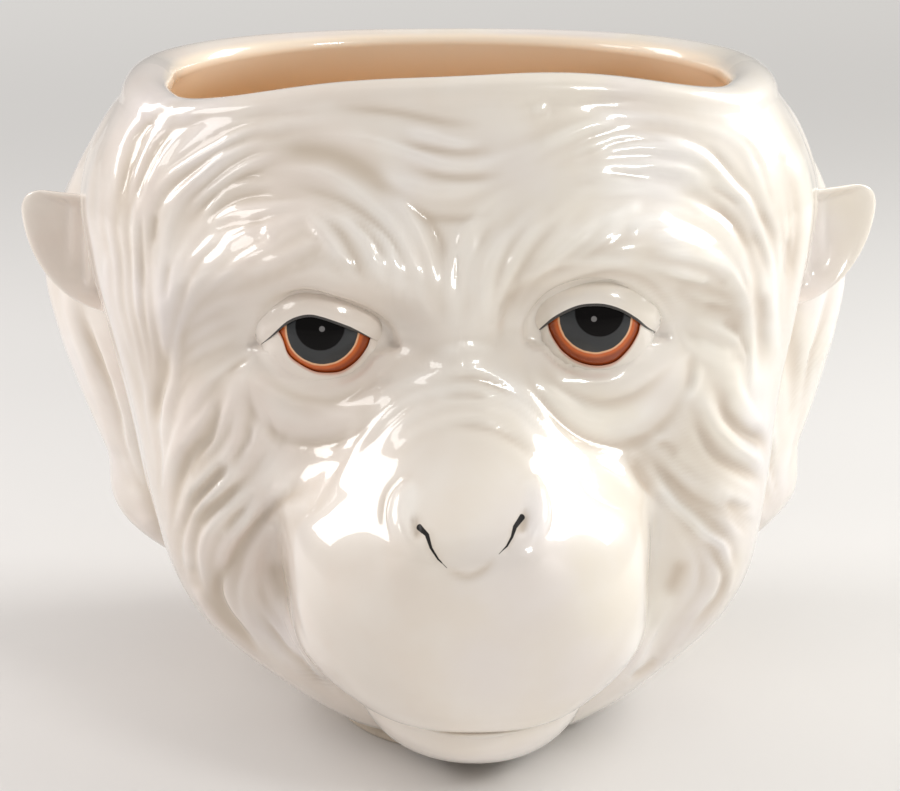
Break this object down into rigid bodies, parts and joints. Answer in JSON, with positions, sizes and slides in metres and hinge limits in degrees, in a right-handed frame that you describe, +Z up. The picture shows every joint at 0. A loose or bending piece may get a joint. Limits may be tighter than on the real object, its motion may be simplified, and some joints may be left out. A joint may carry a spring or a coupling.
{
  "type": "monkey head planter",
  "caption": "Glazed ceramic planter in the shape of a monkey's head, hollow and open at the crown, with modelled fur, ears and muzzle and hand-painted eyes under heavy lids",
  "frame": {"origin": "on the table under the middle of the head, on the face that the foot ring stands on", "axes": "+Z up, the face looks along -Y, +X is the animal's left, on the right of a picture from the front"},
  "size_m": [0.3602, 0.3377, 0.2776],
  "materials": {
    "glaze": "gloss",
    "bare_clay": "matte",
    "painted_eye": "gloss"
  },
  "bodies": {
    "root": {"head_shell": "glaze", "foot_ring": "bare_clay", "lower_jaw": "glaze", "left_ear": "glaze", "right_ear": "glaze", "left_eyeball": "painted_eye", "right_eyeball": "painted_eye", "left_upper_eyelid": "glaze", "right_upper_eyelid": "glaze", "left_lower_eyelid": "glaze", "right_lower_eyelid": "glaze"}
  },
  "joints": []
}
